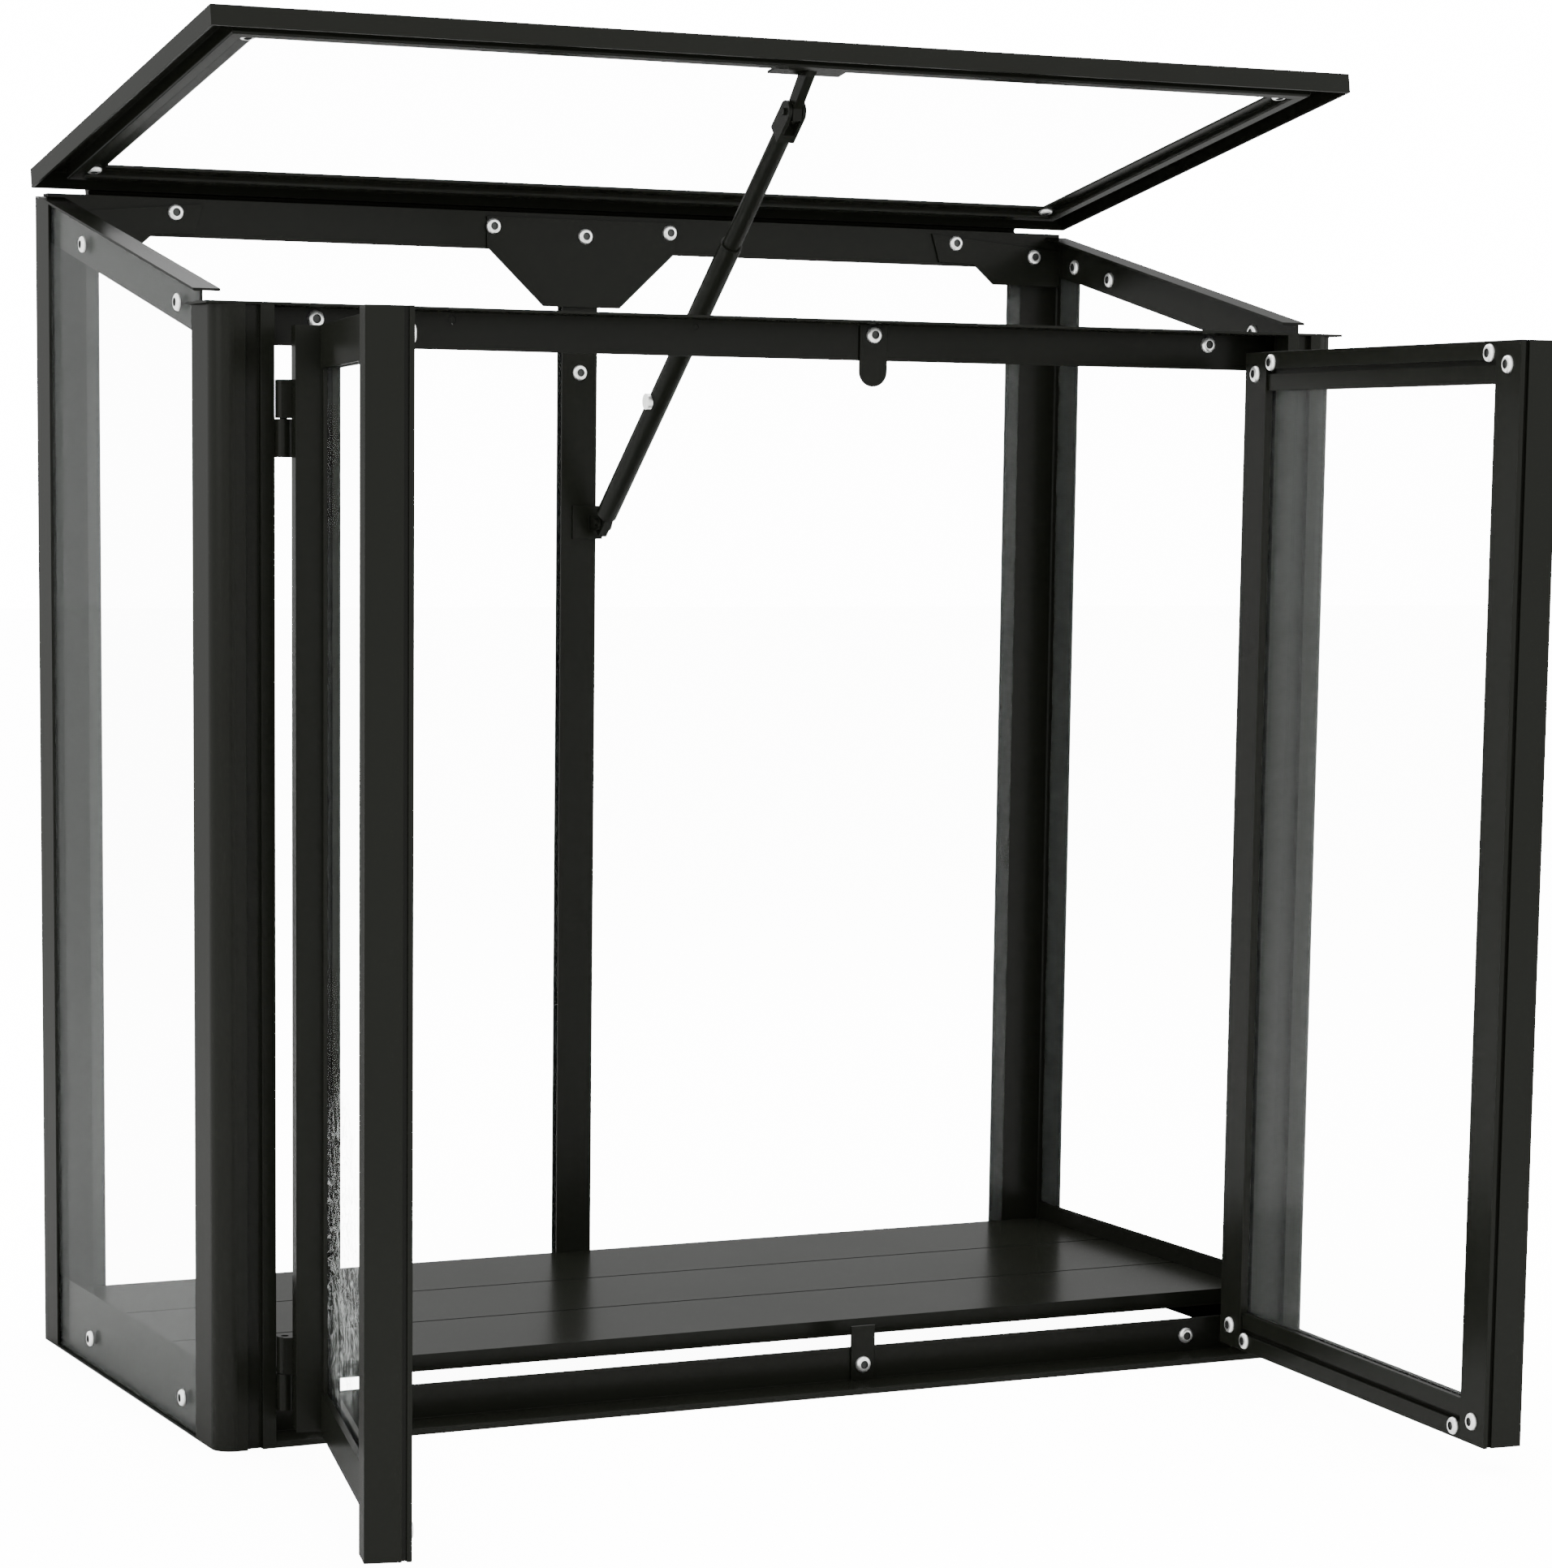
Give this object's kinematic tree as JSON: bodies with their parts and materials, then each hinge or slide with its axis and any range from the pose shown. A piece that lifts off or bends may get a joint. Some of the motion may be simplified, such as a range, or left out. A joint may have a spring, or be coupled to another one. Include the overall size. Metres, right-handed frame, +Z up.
{
  "type": "cold frame",
  "caption": "Free-standing cold frame cabinet of black aluminium sections with clear panes, two front doors and a hinged sloping lid held by a telescopic stay",
  "frame": {"origin": "on the floor, at the middle of the underside of the front base rail", "axes": "+X to the cabinet's right seen from the front, +Y from the front to the rear, +Z up"},
  "size_m": [1.0457, 0.9326, 1.1025],
  "materials": {
    "black_aluminium": "satin black powder coat",
    "clear_pane": "clear, polished",
    "steel_screw": "bright plated"
  },
  "bodies": {
    "cabinet": {"door_stop_bottom": "black_aluminium", "door_stop_top": "black_aluminium", "frame_screws": "steel_screw", "front_base_rail": "black_aluminium", "front_left_post": "black_aluminium", "front_right_post": "black_aluminium", "front_top_rail": "black_aluminium", "left_base_rail": "black_aluminium", "left_post_hinges": "black_aluminium", "left_shelf_bearer": "black_aluminium", "left_side_pane": "clear_pane", "left_top_rail": "black_aluminium", "lid_hinge_channel": "black_aluminium", "rear_base_rail": "black_aluminium", "rear_centre_post": "black_aluminium", "rear_gusset": "black_aluminium", "rear_left_bracket": "black_aluminium", "rear_left_pane": "clear_pane", "rear_left_post": "black_aluminium", "rear_right_bracket": "black_aluminium", "rear_right_pane": "clear_pane", "rear_right_post": "black_aluminium", "rear_top_rail": "black_aluminium", "right_base_rail": "black_aluminium", "right_post_hinges": "black_aluminium", "right_shelf_bearer": "black_aluminium", "right_side_pane": "clear_pane", "right_top_rail": "black_aluminium", "shelf_board_front": "black_aluminium", "shelf_board_middle": "black_aluminium", "shelf_board_rear": "black_aluminium", "stay_foot_bracket": "black_aluminium"},
    "left_door": {"left_door_bottom_rail": "black_aluminium", "left_door_free_stile": "black_aluminium", "left_door_hinge_stile": "black_aluminium", "left_door_knuckles": "black_aluminium", "left_door_pane": "clear_pane", "left_door_screws": "steel_screw", "left_door_top_rail": "black_aluminium"},
    "right_door": {"right_door_bottom_rail": "black_aluminium", "right_door_free_stile": "black_aluminium", "right_door_hinge_stile": "black_aluminium", "right_door_knuckles": "black_aluminium", "right_door_pane": "clear_pane", "right_door_screws": "steel_screw", "right_door_top_rail": "black_aluminium"},
    "lid": {"lid_front_rail": "black_aluminium", "lid_hinge_bead": "black_aluminium", "lid_left_rail": "black_aluminium", "lid_pane": "clear_pane", "lid_rear_rail": "black_aluminium", "lid_right_rail": "black_aluminium", "lid_screws": "steel_screw", "lid_stay_bracket": "black_aluminium"},
    "stay_lower": {"stay_clamp_screw": "steel_screw", "stay_lower_tube": "black_aluminium"},
    "stay_upper": {"stay_fork": "black_aluminium", "stay_spring_button": "steel_screw", "stay_upper_tube": "black_aluminium"}
  },
  "joints": [
    {"name": "left_door_hinge", "type": "hinge", "parent": "cabinet", "child": "left_door", "pos_m": [-0.445, -0.025, 0.4435], "axis": [0, 0, 1], "range_deg": [-15, 103]},
    {"name": "right_door_hinge", "type": "hinge", "parent": "cabinet", "child": "right_door", "pos_m": [0.445, -0.025, 0.4435], "axis": [0, 0, 1], "range_deg": [-86, 32]},
    {"name": "lid_hinge", "type": "hinge", "parent": "cabinet", "child": "lid", "pos_m": [0, 0.46, 0.995], "axis": [1, 0, 0], "range_deg": [0, 23.1]},
    {"name": "stay_foot_pivot", "type": "hinge", "parent": "cabinet", "child": "stay_lower", "pos_m": [0.016, 0.425, 0.716], "axis": [1, 0, 0], "range_deg": [0, 16.8]},
    {"name": "stay_slide", "type": "slide", "parent": "stay_lower", "child": "stay_upper", "axis": [0, -0.7484, 0.6633], "range_m": [-0.1005, 0]}
  ],
  "couplings": [
    {"joint": "stay_foot_pivot", "follows": "lid_hinge", "ratio": 0.725},
    {"joint": "stay_slide", "follows": "lid_hinge", "m_per_rad": -0.248}
  ]
}
